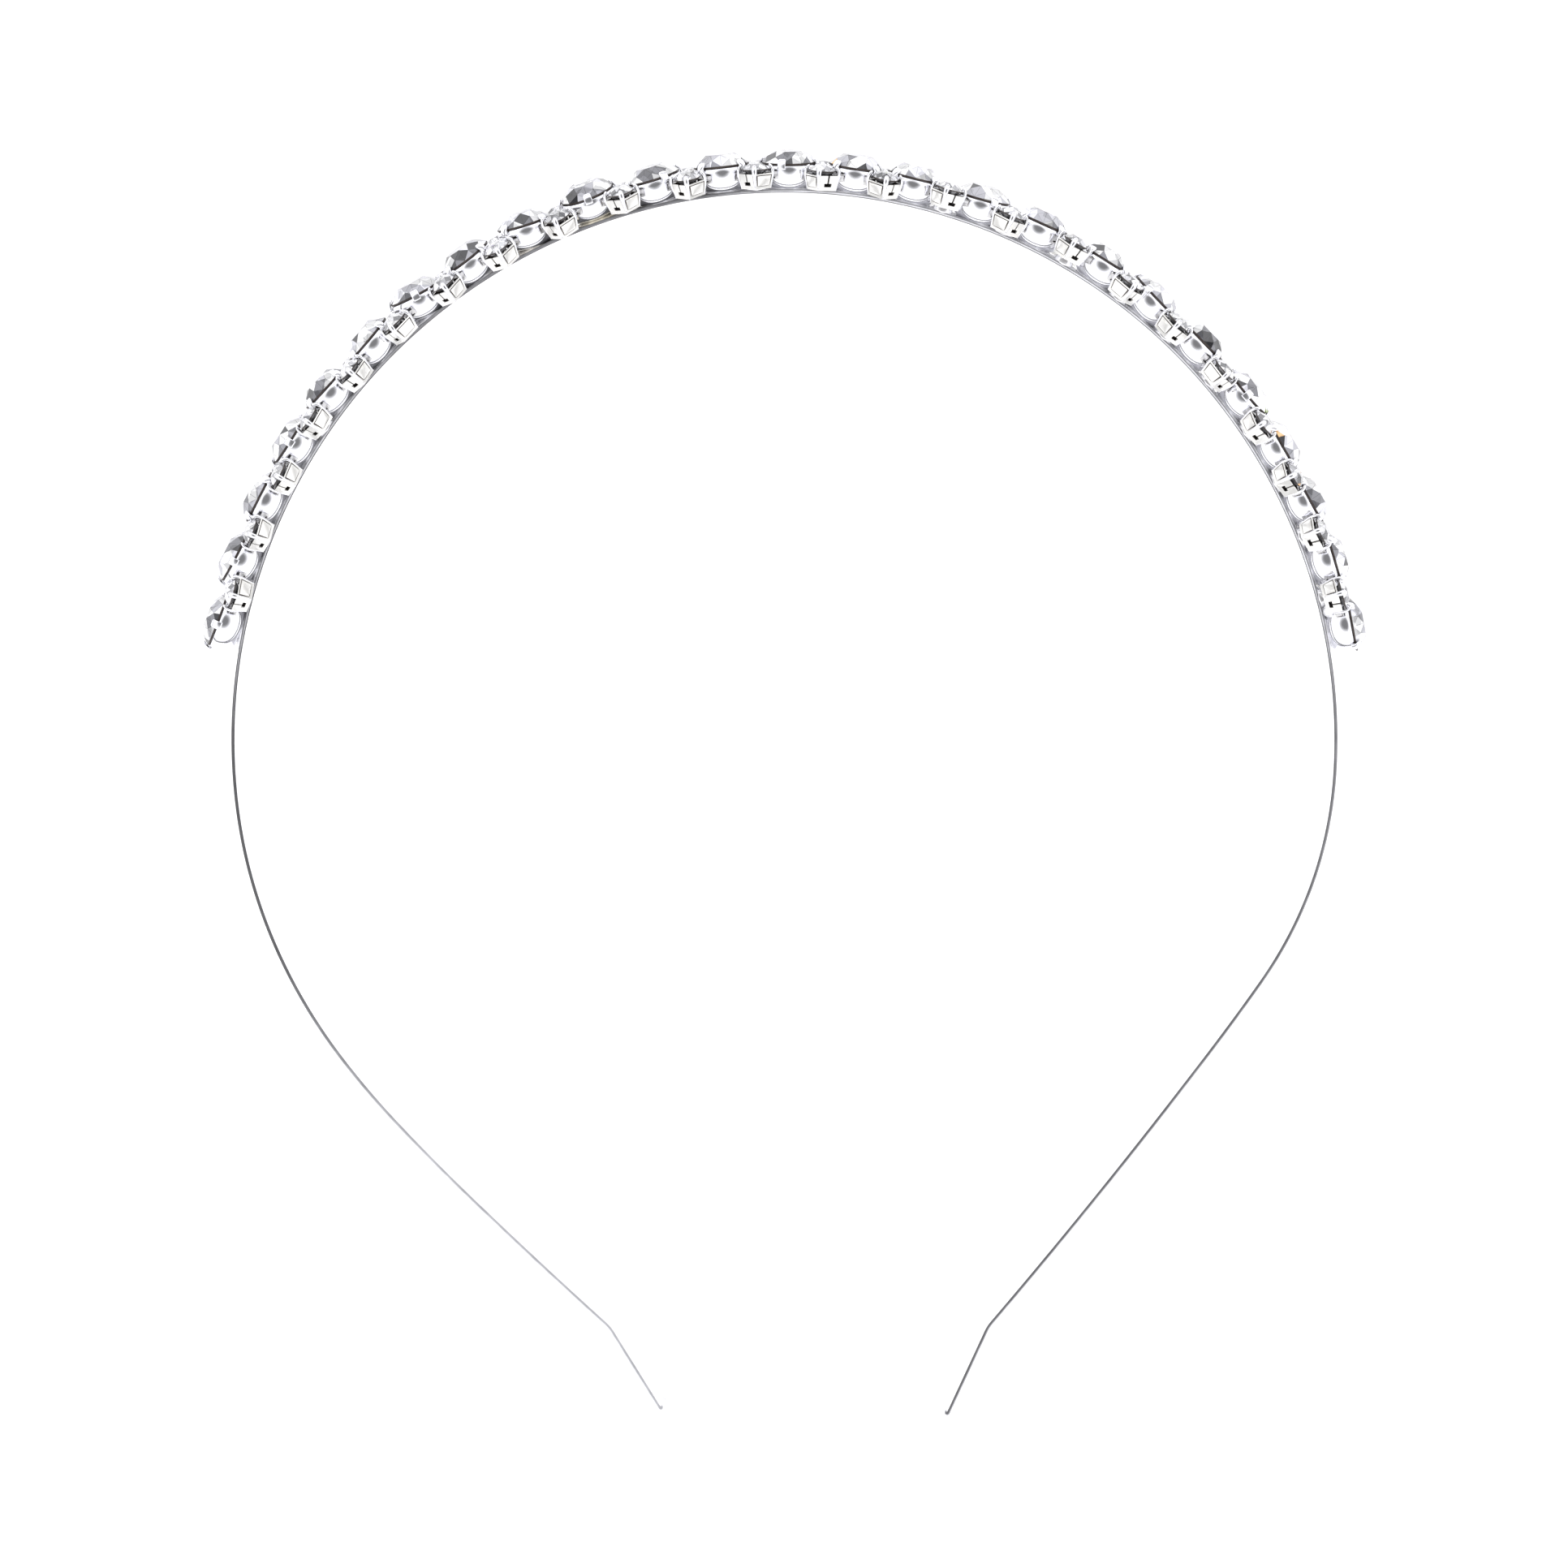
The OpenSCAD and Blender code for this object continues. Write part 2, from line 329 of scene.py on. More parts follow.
def add(tree: Tree, kind: str, values: Values | None = None, **settings: object) -> Node:
    """Adds a node to a tree.

    Args:
        tree: the tree.
        kind: the node's type, without the prefix that all share.
        values: values of its input sockets, by name or number.
        settings: its own settings, by name.

    Returns:
        The node.
    """
    node = tree.nodes.new(f"ShaderNode{kind}")
    for name, value in settings.items():
        setattr(node, name, value)
    put(node, values or {})
    return node


def add_noise(tree: Tree, scale: float, detail: float = 2.0) -> Node:
    """Adds a noise that reads the object's own coordinates.

    Args:
        tree: the tree.
        scale: its scale, for each metre.
        detail: its number of octaves.

    Returns:
        The node.
    """
    noise = add(tree, "TexNoise", {"Scale": scale, "Detail": detail})
    link(add(tree, "TexCoord"), "Object", noise, "Vector")
    return noise


def add_range(tree: Tree, source: Pair, target: Pair) -> Node:
    """Adds a node that carries numbers of one range, the source, over to another, the target."""
    names = ("From Min", "From Max", "To Min", "To Max")
    return add(tree, "MapRange", dict(zip(names, (*source, *target))))


def add_ramp(tree: Tree, places: Pair, colours: tuple[Colour, Colour]) -> Node:
    """Adds a colour ramp of two stops.

    Args:
        tree: the tree.
        places: where the stops are, from 0 to 1.
        colours: their colours.

    Returns:
        The node.
    """
    ramp = add(tree, "ValToRGB")
    for stop, place, colour in zip(ramp.color_ramp.elements, places, colours):
        stop.position = place
        stop.color = (*colour, 1)
    return ramp


@dataclass(frozen=True)
class Finish:
    """A finish on one principled shader. Each kind of finish adds its own nodes."""

    name: str
    metallic: float = 0.0
    roughness: float = 0.5

    def dress(self, tree: Tree, shader: Node) -> None:
        """Adds this kind's own nodes and feeds the shader from them."""

    def build(self) -> Material:
        """Makes the material.

        Returns:
            The material.
        """
        material = bpy.data.materials.new(self.name)
        material.use_nodes = True
        tree = material.node_tree
        shader = tree.nodes["Principled BSDF"]
        put(shader, {"Metallic": self.metallic, "Roughness": self.roughness})
        self.dress(tree, shader)
        return material


@dataclass(frozen=True)
class PolishedSilver(Finish):
    """Silver plate, polished and lightly marked: its roughness and its bump follow a fine noise."""

    metallic: float = 1.0
    colour: Colour = (0.9, 0.9, 0.93)
    smoothest: float = 0.05
    roughest: float = 0.16
    marks: float = 0.05
    mark_scale: float = 900.0
    mark_detail: float = 4.0
    mark_depth: float = 0.00002

    def dress(self, tree: Tree, shader: Node) -> None:
        """Adds the marks.

        Args:
            tree: the nodes.
            shader: the one to feed.
        """
        put(shader, {"Base Color": (*self.colour, 1)})
        marks = add_noise(tree, self.mark_scale, self.mark_detail)
        spread = add_range(tree, (0.0, 1.0), (self.smoothest, self.roughest))
        bump = add(tree, "Bump", {"Strength": self.marks, "Distance": self.mark_depth})
        link(marks, "Fac", spread, "Value")
        link(spread, "Result", shader, "Roughness")
        link(marks, "Fac", bump, "Height")
        link(bump, "Normal", shader, "Normal")


@dataclass(frozen=True)
class PaintedReflectionSilver(Finish):
    """Silver plate along the strip, whose painted reflections and shade lie on its faces, broken up by fine
    marks.
    """

    metallic: float = 0.15
    roughness: float = 0.32
    mark_scale: float = 700.0
    mark_detail: float = 5.0
    mark_range: Pair = (0.3, 0.7)
    mark_tones: Pair = (0.8, 1.1)

    def dress(self, tree: Tree, shader: Node) -> None:
        """Scales the painted reflections and shade by the marks.

        Args:
            tree: the nodes.
            shader: the one to feed.
        """
        tone = add(tree, "Attribute", attribute_name=PAINTED_LIGHT_LAYER)
        noise = add_noise(tree, self.mark_scale, self.mark_detail)
        marks = add_range(tree, self.mark_range, self.mark_tones)
        worn = add(tree, "VectorMath", operation="SCALE")
        link(noise, "Fac", marks, "Value")
        link(tone, "Color", worn, 0)
        link(marks, "Result", worn, "Scale")
        link(worn, "Vector", shader, "Base Color")


@dataclass(frozen=True)
class Solder(Finish):
    """Soft solder: pale and lumpy, with straw-coloured flux here and there."""

    metallic: float = 0.5
    roughness: float = 0.16
    pale: Colour = (0.96, 0.96, 0.98)
    straw: Colour = (0.93, 0.87, 0.7)
    stain_scale: float = 45.0
    stain_range: Pair = (0.62, 0.72)
    lump_scale: float = 1400.0
    lump_strength: float = 0.5
    lump_depth: float = 0.0001

    def dress(self, tree: Tree, shader: Node) -> None:
        """Adds the flux and the lumps.

        Args:
            tree: the nodes.
            shader: the one to feed.
        """
        patches = add_noise(tree, self.stain_scale)
        stain = add_ramp(tree, self.stain_range, (self.pale, self.straw))
        lumps = add_noise(tree, self.lump_scale)
        bump = add(tree, "Bump", {"Strength": self.lump_strength, "Distance": self.lump_depth})
        link(patches, "Fac", stain, "Fac")
        link(stain, "Color", shader, "Base Color")
        link(lumps, "Fac", bump, "Height")
        link(bump, "Normal", shader, "Normal")


@dataclass(frozen=True)
class FoiledCrystal(Finish):
    """Cut crystal over silver foil: each facet has its own painted reflection, broken up by cells of painted
    light for the facets seen through it.
    """

    metallic: float = 0.35
    roughness: float = 0.06
    ior: float = 1.54
    coat: float = 0.6
    coat_roughness: float = 0.02
    cell_scale: float = 1000.0
    cell_range: Pair = (0.2, 0.45)
    cell_tones: Pair = (0.62, 1.0)
    edge: float = 0.00004
    edge_tone: float = 0.45

    def dress(self, tree: Tree, shader: Node) -> None:
        """Scales the painted reflection by a cell's share, less edge_tone along the edges between facets.

        Args:
            tree: the nodes.
            shader: the one to feed.
        """
        put(shader, {"IOR": self.ior, "Coat Weight": self.coat, "Coat Roughness": self.coat_roughness})
        # Reads the facets' painted reflections
        tint = add(tree, "Attribute", attribute_name=PAINTED_LIGHT_LAYER)
        cells = add(tree, "TexVoronoi", {"Scale": self.cell_scale})
        split = add(tree, "SeparateColor")
        share = add_range(tree, self.cell_range, self.cell_tones)
        lines = add(tree, "Wireframe", {"Size": self.edge})
        ruled = add(tree, "Math", {1: -self.edge_tone}, operation="MULTIPLY_ADD")
        toned = add(tree, "VectorMath", operation="SCALE")
        link(add(tree, "TexCoord"), "Object", cells, "Vector")
        link(cells, "Color", split, "Color")
        link(split, "Red", share, "Value")
        link(lines, "Fac", ruled, 0)
        link(share, "Result", ruled, 2)
        link(tint, "Color", toned, 0)
        link(ruled, "Value", toned, "Scale")
        link(toned, "Vector", shader, "Base Color")


@dataclass(frozen=True)
class PaintedShadePocket(Finish):
    """Painted shade: brown-black inside the cups and under the stones' girdles, mottled and half dull."""

    roughness: float = 0.45
    mottle_scale: float = 900.0
    darkest: Colour = (0.012, 0.009, 0.008)
    palest: Colour = (0.07, 0.05, 0.042)

    def dress(self, tree: Tree, shader: Node) -> None:
        """Adds the mottle.

        Args:
            tree: the nodes.
            shader: the one to feed.
        """
        mottle = add_ramp(tree, (0.0, 1.0), (self.darkest, self.palest))
        link(add_noise(tree, self.mottle_scale), "Fac", mottle, "Fac")
        link(mottle, "Color", shader, "Base Color")


@dataclass(frozen=True)
class WhiteGround(Finish):
    """Matt white that glows a little, so that it stays white under the dark place overhead."""

    roughness: float = 0.9
    grey: float = 0.82
    glow: float = 0.4

    def dress(self, tree: Tree, shader: Node) -> None:
        """Sets the shader's colour and glow."""
        put(shader, {"Base Color": (self.grey, self.grey, self.grey, 1), "Emission Color": (1, 1, 1, 1),
                     "Emission Strength": self.glow})


@dataclass
class Strip:
    """The bent strip: an arch, two legs of gentle bends, a kink, a straight tip and a roll on each.

    A leg is the degrees that the arch runs on below its widest point, and pairs of a bend's length and turn.
    A row of the edge's painted light is the angle about the arch's centre, and the edge's painted reflection
    and shade on its inner round, flat and outer round. A row of the face's painted light is the angle and the
    painted reflection and shade of the outer side.
    """

    tip: float = 9.95
    roll_r: float = 0.34
    roll_turn: float = 230.0
    roll_steps: int = 26
    edge_r: float = 0.11
    twist: float = 5.5
    twist_from: float = -10.0
    twist_run: float = 30.0
    step: float = 0.6
    fewest_steps: int = 6
    arch_steps: int = 240
    cups_from: float = 9.0
    left: tuple = (5, ((33, 32.2), (9, 5.8), (12, 2.9), (20.4, 1.8), (1.2, -16)))
    right: tuple = (3, ((25.5, 31.5), (11, 2.6), (37.2, 3.2), (1.2, -15.6)))
    # Painted reflections and shade of the strip's edge, by angle about the arch's centre
    painted_light_tones: tuple = (
        (-70, 0.14, 0.16, 0.5), (-20, 0.14, 0.18, 0.4), (5, 0.1, 0.25, 0.2), (18, 0.2, 1.0, 0.3),
        (88, 0.2, 1.0, 0.4), (98, 0.25, 0.25, 0.18), (132, 0.14, 0.3, 0.3), (148, 0.08, 0.85, 0.4),
        (168, 0.06, 0.55, 0.15), (180, 0.06, 0.12, 0.08), (205, 0.1, 0.14, 0.12), (228, 0.5, 0.5, 0.7),
        (250, 0.55, 0.5, 0.8),
    )
    # Painted reflections and shade of the strip's outer side, by angle about the arch's centre
    face_painted_light_tones: tuple = (
        (-70, 0.85), (10, 0.95), (90, 0.95), (98, 0.18), (134, 0.18), (142, 0.5), (180, 0.7), (250, 0.85),
    )
    inner_tone: float = 0.82
    end_tone: float = 0.4
    # Blue share of the painted reflections and shade, for a lavender cast
    blueness: float = 1.04

    def leg(self, start: float, bends: tuple) -> Array:
        """Centre line down the right-hand side from the end of the arch.

        On a bend of length L that turns by t, the heading after a share s is h - t s, and the place moves
        by L / t times the change of its sine and cosine. A straight run moves along the heading.

        Args:
            start: degrees that the arch runs on below its widest point.
            bends: pairs of length and turn.

        Returns:
            Rows of x, y and heading in radians.
        """
        a = np.radians(-start)
        pose = np.array([ARCH_R * np.cos(a), ARCH_R * np.sin(a), np.radians(-90 - start)])
        rows = []
        runs = [(*run, max(self.fewest_steps, int(run[0] / self.step))) for run in (*bends, (self.tip, 0.0))]
        runs.append((self.roll_r * np.radians(self.roll_turn), self.roll_turn, self.roll_steps))
        for length, turn, count in runs:
            s = np.arange(1, count + 1) / count
            x, y, h = pose
            k = -np.radians(turn) / length
            ahead = h + k * length * s
            dx = (np.sin(ahead) - np.sin(h)) / k if turn else length * s * np.cos(h)
            dy = (np.cos(h) - np.cos(ahead)) / k if turn else length * s * np.sin(h)
            rows.append(stacked(x + dx, y + dy, ahead))
            pose = rows[-1][-1]
        return np.concatenate(rows)

    def centre_line(self) -> Array:
        """The whole line from the left tip to the right one: the left leg mirrored, the arch, the right leg.

        Returns:
            Rows of x, y and heading in radians.
        """
        left = self.leg(*self.left)[::-1] * np.array([-1, 1, -1])
        a = np.radians(np.linspace(180 + self.left[0], -self.right[0], self.arch_steps))
        arch = stacked(ARCH_R * np.cos(a), ARCH_R * np.sin(a), a - np.pi / 2)
        return np.concatenate([left, arch, self.leg(*self.right)])

    def surface(self) -> Surface:
        """A rounded rectangle carried along the line.

        A point is the line's, plus u times the outward side and w times up, both turned about the line by a
        twist that grows from none on the arch to its full value on the lower legs.

        Returns:
            The strip's skin.
        """
        line = self.centre_line()
        x, y, h = line.T
        low = np.clip((self.twist_from - y) / self.twist_run, 0, 1)
        t = np.radians(self.twist) * low * low * (3 - 2 * low)
        out = stacked(-np.sin(h), np.cos(h), 0)
        up = np.array([0, 0, 1.0])
        side = out * np.cos(t)[:, None] + up * np.sin(t)[:, None]
        across = up * np.cos(t)[:, None] - out * np.sin(t)[:, None]
        section = self.section()
        middle = stacked(x, y + ARCH_Y, LIE_Z)
        rows = middle[:, None] + section[:, 0, None] * side[:, None] + section[:, 1, None] * across[:, None]
        return tube(rows, self.finishes())

    def section(self) -> Array:
        """The rounded rectangle, clockwise: rows of outward and upward distance."""
        return rounded_box(STRIP_T / 2, STRIP_W / 2, self.edge_r)[::-1]

    def flats(self) -> tuple[Array, Array]:
        """Outward and upward distance of the middle of each flat of the section."""
        section = self.section()
        return tuple(((section + np.roll(section, -1, axis=0)) / 2).T)

    def around(self) -> Array:
        """Angle of each point of the line about the arch's centre.

        Returns:
            Degrees, from -90 to 270.
        """
        x, y, _ = self.centre_line().T
        angle = np.degrees(np.arctan2(y, x))
        return np.where(angle < -90, angle + 360, angle)

    def finishes(self) -> Array:
        """Picks the finish with painted reflections and shade for the upper edge and the outer side behind
        the cups.

        Returns:
            0 for each face with painted reflections and shade, and 1 for each with the rolled finish.
        """
        u, w = self.flats()
        angle = self.around()[:-1, None]
        behind = (angle > self.cups_from) & (angle < 180 - self.cups_from) & (u > 0)
        return np.where((w > STRIP_W / 2 - self.edge_r) | behind, 0, 1)

    def tints(self) -> Array:
        """A painted reflection and shade for each face of the skin, in the order of their finishes' numbers.

        The tables of painted light are read at the face's angle about the arch's centre.

        Returns:
            Rows of red, green, blue and 1.
        """
        angle = self.around()
        at, *painted_light_tones = np.array(self.painted_light_tones).T
        inner, flat, outer = (np.interp(angle, at, tone)[:-1, None] for tone in painted_light_tones)
        u, w = self.flats()
        edge = w > STRIP_W / 2 - self.edge_r
        turn = STRIP_T / 2 - self.edge_r
        face = np.interp(angle, *np.array(self.face_painted_light_tones).T)[:-1, None]
        broad = np.where(u > 0, face, self.inner_tone)
        tone = np.select([~edge, u < -turn, u > turn], [broad, inner, outer], flat)
        picks = self.finishes()
        tone = np.concatenate([tone[picks == 0], tone[picks == 1], [self.end_tone] * 2])
        return stacked(tone, tone, tone * self.blueness, 1)


@dataclass
class Row:
    """The row of stones: how each large cup is set, and how the small cups in each gap are turned.

    A row of settings is a large cup's offset along the row, its leans along and up, its spin and its rise. A
    row of gap settings is an upper square cup's turn, its lean out and its rise.
    """

    first: float = 12.0
    pitch: float = 6.5
    girdle_z: float = 2.71
    foot_r: float = 1.6
    bite: float = 0.16
    small_offset: float = 3.45
    lower_out: float = 6.0
    lower_rise: float = 0.2
    settings: tuple = (
        (-0.5, -1, 0, 0, 0.1), (-0.15, -2, -2, 0, 0), (-0.45, 4, 0, 0, 0), (-0.8, -1, 0, 0, 0.1),
        (-1.25, 3, 2, 45, 0.1), (-0.7, 0, -2, 0, 0), (-0.6, -7, -2, 20, 0), (-1.45, 2, -3, 0, 0),
        (-0.5, 2, -3, 0, 0), (-0.75, 5, 0, -20, 0), (0, -1, -2, 0, 0), (-0.6, -1, 0, 0, 0),
        (-0.5, 1, 0, 30, 0), (-0.25, 0, -2, 0, 0), (0, 4, 1, -20, 0), (0.3, 1, 7, 45, 0.3),
        (1.15, -10, 0, 0, 0), (0.8, 4, 2, 0, 0), (1, -12, 0, 45, 0), (0.4, 4, 0, 0, 0), (0.75, -5, -2, 0, 0),
        (0.3, -1, 0, 45, 0), (0.3, -2, -2, 0, 0), (0.55, -10, 0, 40, 0), (0.5, -9, 0, 40, 0),
    )
    gap_settings: tuple = (
        (10, 0, 0.6), (12, 8, 0.8), (8, 9, 0.7), (5, 8, 0.7), (-14, 2, 0.6), (0, 3, 0.6), (-14, 3, 0.6),
        (8, 0, 0.9), (-5, 0, 0.4), (10, 0, 0.8), (-4, 6, 0.5), (12, 0, 0.3), (4, 0, 0.4), (5, 8, 0.5),
        (0, 8, 0.6), (11, 12, 0.5), (0, 11, 0.4), (3, 11, 0.4), (17, 4, 0.3), (0, 5, 0.3), (9, 5, 0.6),
        (4, 5, 0.2), (5, 6, 0.3), (2, 6, 0.2),
    )

    def angles(self) -> Array:
        """Degrees of each large cup's foot about the arch's centre: first + pitch i + its own offset."""
        table = np.array(self.settings, float)
        return self.first + self.pitch * np.arange(len(table)) + table[:, 0]

    def large(self) -> Stands:
        """Places of the large cups: slid, lifted, leant along and up, and spun.

        The lift is the foot's radius times the sine of the whole lean, less the depth that its lower edge
        bites into the strip, plus the cup's own rise. The slide is the girdle's height times the sine of the
        lean up.

        Returns:
            The places.
        """
        _, along, up, turn, rise = np.array(self.settings, float).T
        lift = rise + np.maximum(0, self.foot_r * np.sin(np.radians(np.hypot(along, up))) - self.bite)
        slide = self.girdle_z * np.sin(np.radians(up))
        stands = on_face(self.angles()).shifted(stacked(slide, 0, lift))
        return stands.turned(spin(Axis.X, -along) @ spin(Axis.Y, -up) @ spin(Axis.Z, turn))

    def gaps(self) -> Array:
        """Works out where the small cups are: midway between the girdles of their neighbours.

        Returns:
            Degrees about the arch's centre.
        """
        along = np.radians(np.array(self.settings, float)[:, 1])
        girdles = self.angles() + np.degrees(self.girdle_z * np.sin(along) / ARCH_R)
        return (girdles[1:] + girdles[:-1]) / 2

    def raised(self, side: Side) -> Array:
        """How far the small cups on one side stand above the strip, one for each gap."""
        rise = np.array(self.gap_settings, float)[:, 2]
        return rise if side is Side.UPPER else np.full_like(rise, self.lower_rise)

    def small(self, side: Side) -> Stands:
        """Places of the small cups on one side, midway between the girdles of their large neighbours.

        A cup leans out over the strip's edge, and its base keeps its rise there: the middle of the base drops
        by its distance beyond the edge times the tangent of the lean. The lower row is not turned.

        Args:
            side: the upper or the lower row.

        Returns:
            The places, with the slotted walls on the side away from the top of the arch.
        """
        gaps = self.gaps()
        z_side = side.value
        rise = self.raised(side)
        turn, out, _ = np.array(self.gap_settings, float).T
        if side is Side.LOWER:
            turn, out = np.zeros_like(turn), np.full_like(out, self.lower_out)
        quarter = np.where(z_side * np.cos(np.radians(gaps)) > 0, 90.0, 0.0)
        drop = (self.small_offset - STRIP_W / 2) * np.tan(np.radians(out))
        shift = stacked(-z_side * self.small_offset, 0, rise - drop)
        matrices = spin(Axis.Y, -z_side * out) @ spin(Axis.Z, quarter - z_side * turn)
        return on_face(gaps).shifted(shift).turned(matrices)


def round_axis(*degrees: float) -> Stands:
    """Places at the origin, each turned about Z by its own angle."""
    return Stands(np.zeros((len(degrees), 3)), spin(Axis.Z, np.array(degrees)))


@dataclass
class LargeCup:
    """A smooth round cup with four bent prongs."""

    foot_r: float = 1.6
    rim_r: float = 3.18
    height: float = 2.65
    swell_h: float = 2.1
    taper: float = 0.1
    lip: float = 0.08
    sink: float = 0.1
    pole_r: float = 0.02
    seat_floor: Pair = (0.5, 0.3)
    segments: int = 56
    prong_half: Pair = (0.13, 0.45)
    prong_round: float = 0.1
    prong_path: tuple = ((3.26, 2.3), (3.34, 3.05), (2.72, 3.42))
    prong_steps: int = 16
    tip_from: float = 0.72
    thinnest: float = 0.35

    def wall(self) -> Surface:
        """The cup: a quarter ellipse, a slightly swollen side, a round lip, and a cone inside in painted
        shade.

        On the quarter ellipse r = foot + (rim - foot) sin a and z = swell (1 - cos a). On the side r falls
        off with the square of the height above the ellipse.

        Returns:
            The cup's skin.
        """
        a = np.radians(np.linspace(0, 90, 13))
        top = self.height - self.lip
        spread = self.rim_r - self.foot_r
        outside = stacked(self.foot_r + spread * np.sin(a), self.swell_h * (1 - np.cos(a)))
        v = np.arange(1, 9) / 8
        side = stacked(self.rim_r - self.taper * v * v, self.swell_h + (top - self.swell_h) * v)
        b = np.radians(np.linspace(30, 180, 6))
        lip = np.array([self.rim_r - self.taper - self.lip, top]) + self.lip * stacked(np.cos(b), np.sin(b))
        inside = np.array([self.seat_floor, (self.pole_r, self.seat_floor[1])])
        foot = np.array([(self.pole_r, -self.sink), (self.foot_r - self.sink / 2, -self.sink)])
        profile = np.concatenate([foot, outside, side, lip, inside])
        finish = np.zeros(len(profile) - 1, int)
        finish[-len(inside):] = 1
        return revolved(profile, self.segments, finish)

    def prong(self) -> Surface:
        """One prong: a rounded rectangle along a curve of three points, that narrows to a round tip.

        The curve is (1 - t)^2 p0 + 2 t (1 - t) p1 + t^2 p2. The width keeps the root of 1 - v^2 over the tip,
        where v runs from 0 to 1.

        Returns:
            The prong's skin, in the plane of X and Z.
        """
        t = np.linspace(0, 1, self.prong_steps)[:, None]
        p0, p1, p2 = np.array(self.prong_path)
        line = (1 - t) ** 2 * p0 + 2 * t * (1 - t) * p1 + t ** 2 * p2
        way = np.gradient(line, axis=0)
        way /= np.linalg.norm(way, axis=1)[:, None]
        v = np.clip((t - self.tip_from) / (1 - self.tip_from), 0, 1)
        width = np.sqrt(np.clip(1 - v ** 2, 0.004, 1))
        thick, wide = self.prong_half
        section = rounded_box(thick, wide, self.prong_round)
        depth = section[:, 0] * np.clip(width, self.thinnest, 1)
        x = line[:, :1] + depth * way[:, 1:]
        z = line[:, 1:] - depth * way[:, :1]
        return tube(stacked(x, section[:, 1] * width, z))

    def surface(self, stands: Stands) -> Surface:
        """The cup at every place, with four prongs a quarter of a turn apart from 45 degrees."""
        prongs = self.prong().copied(round_axis(45.0, 135.0, 225.0, 315.0))
        return joined([self.wall(), prongs]).copied(stands)


@dataclass
class SmallCup:
    """A square cup: two plain walls, two with a slot and a seam, and a ridge with a claw at each corner.

    A slot is half its width, its lower and its upper edge. A row of the ridge is a height, and there the
    distance of its middle from the cup's axis and half its width across and along that distance.
    """

    side: float = 2.95
    wall: float = 0.2
    wall_h: float = 1.6
    floor_h: float = 0.3
    sink: float = 0.1
    base: float = 0.8
    slot: Triple = (0.55, 0.32, 0.7)
    seam: float = 0.12
    panel_margin: float = 0.3
    panel_h: float = 0.09
    panel_gap: float = 0.005
    panel_marks: tuple = (-1, -0.86, -0.5, 0, 0.5, 0.86, 1)
    ridge: tuple = (
        (-0.1, 1.98, 0.1, 0.1), (0.5, 1.96, 0.15, 0.13), (1.3, 1.92, 0.22, 0.17), (1.7, 1.88, 0.28, 0.21),
        (2.0, 1.85, 0.3, 0.24), (2.2, 1.78, 0.3, 0.24), (2.45, 1.66, 0.25, 0.19), (2.58, 1.6, 0.15, 0.11),
        (2.64, 1.58, 0.01, 0.01),
    )
    ridge_top: float = 2.35
    claw_from: float = 2.42

    def narrowed(self, surface: Surface) -> Surface:
        """Scales x and y by a share that grows from base, at the foot, to 1 at the top of the wall."""
        share = self.base + (1 - self.base) * np.clip(surface.points[:, 2] / self.wall_h, 0, 1)
        return Surface(surface.points * stacked(share, share, 1), surface.batches)

    def walls(self) -> Surface:
        """The four walls and the floor, as plates carried through their thickness, in painted shade on the
        inside.

        Returns:
            The plates.
        """
        w, z0, z1 = self.side / 2, -self.sink, self.wall_h
        slot, low, high = self.slot
        plain = np.array([(-w, z0), (w, z0), (w, z1), (-w, z1)])
        right = np.array([(self.seam, z1), (self.seam, high), (slot, high), (slot, low)])
        cut = np.concatenate([plain[:3], right, right[::-1] * np.array([-1, 1]), plain[3:]])
        slotted = prism(cut, -w, self.wall - w)
        level = joined([prism(plain, -w, self.wall - w), self.panel()])
        half, z1 = w - self.wall, self.floor_h
        floor = prism(np.array([(-half, z0), (half, z0), (half, z1), (-half, z1)]), -half, half, finish=1)
        pairs = [slotted.copied(round_axis(45.0, 225.0)), level.copied(round_axis(135.0, 315.0))]
        return self.narrowed(joined(pairs + [floor.copied(round_axis(45.0))]))

    def panel(self) -> Surface:
        """The raised panel of a plain wall, with a groove round it in painted shade.

        It stands out by p (1 - u^4) (1 - v^4), with u and v from -1 to 1.

        Returns:
            The panel.
        """
        n = len(self.panel_marks)
        u, v = np.meshgrid(self.panel_marks, self.panel_marks, indexing="xy")
        x = u * (self.side / 2 - self.panel_margin)
        z = self.wall_h / 2 + v * (self.wall_h - self.panel_margin) / 2
        y = -self.side / 2 - self.panel_gap - self.panel_h * (1 - u ** 4) * (1 - v ** 4)
        r, c = np.meshgrid(np.arange(n - 1), np.arange(n - 1), indexing="ij")
        faces = (r * n + c).reshape(-1, 1) + np.array([0, 1, n + 1, n])
        rim = ((r % (n - 2) == 0) | (c % (n - 2) == 0)).ravel()
        return Surface(stacked(x, y, z).reshape(-1, 3), [(faces[~rim], 0, True), (faces[rim], 1, True)])

    def corners(self) -> Surface:
        """The four corner ridges: ellipses whose middle and half widths follow the height, closed at the tip.

        Returns:
            The ridges.
        """
        marks, *sizes = np.array(self.ridge).T
        claw = np.linspace(self.claw_from, marks[-1], 7)
        z = np.concatenate([np.linspace(marks[0], self.ridge_top, 12), claw])
        middle, wide, deep = (np.interp(z, marks, size)[:, None] for size in sizes)
        a = np.arange(16) * 2 * np.pi / 16
        rows = stacked(middle + deep * np.cos(a), wide * np.sin(a), z[:, None])
        return self.narrowed(tube(rows).copied(round_axis(0.0, 90.0, 180.0, 270.0)))


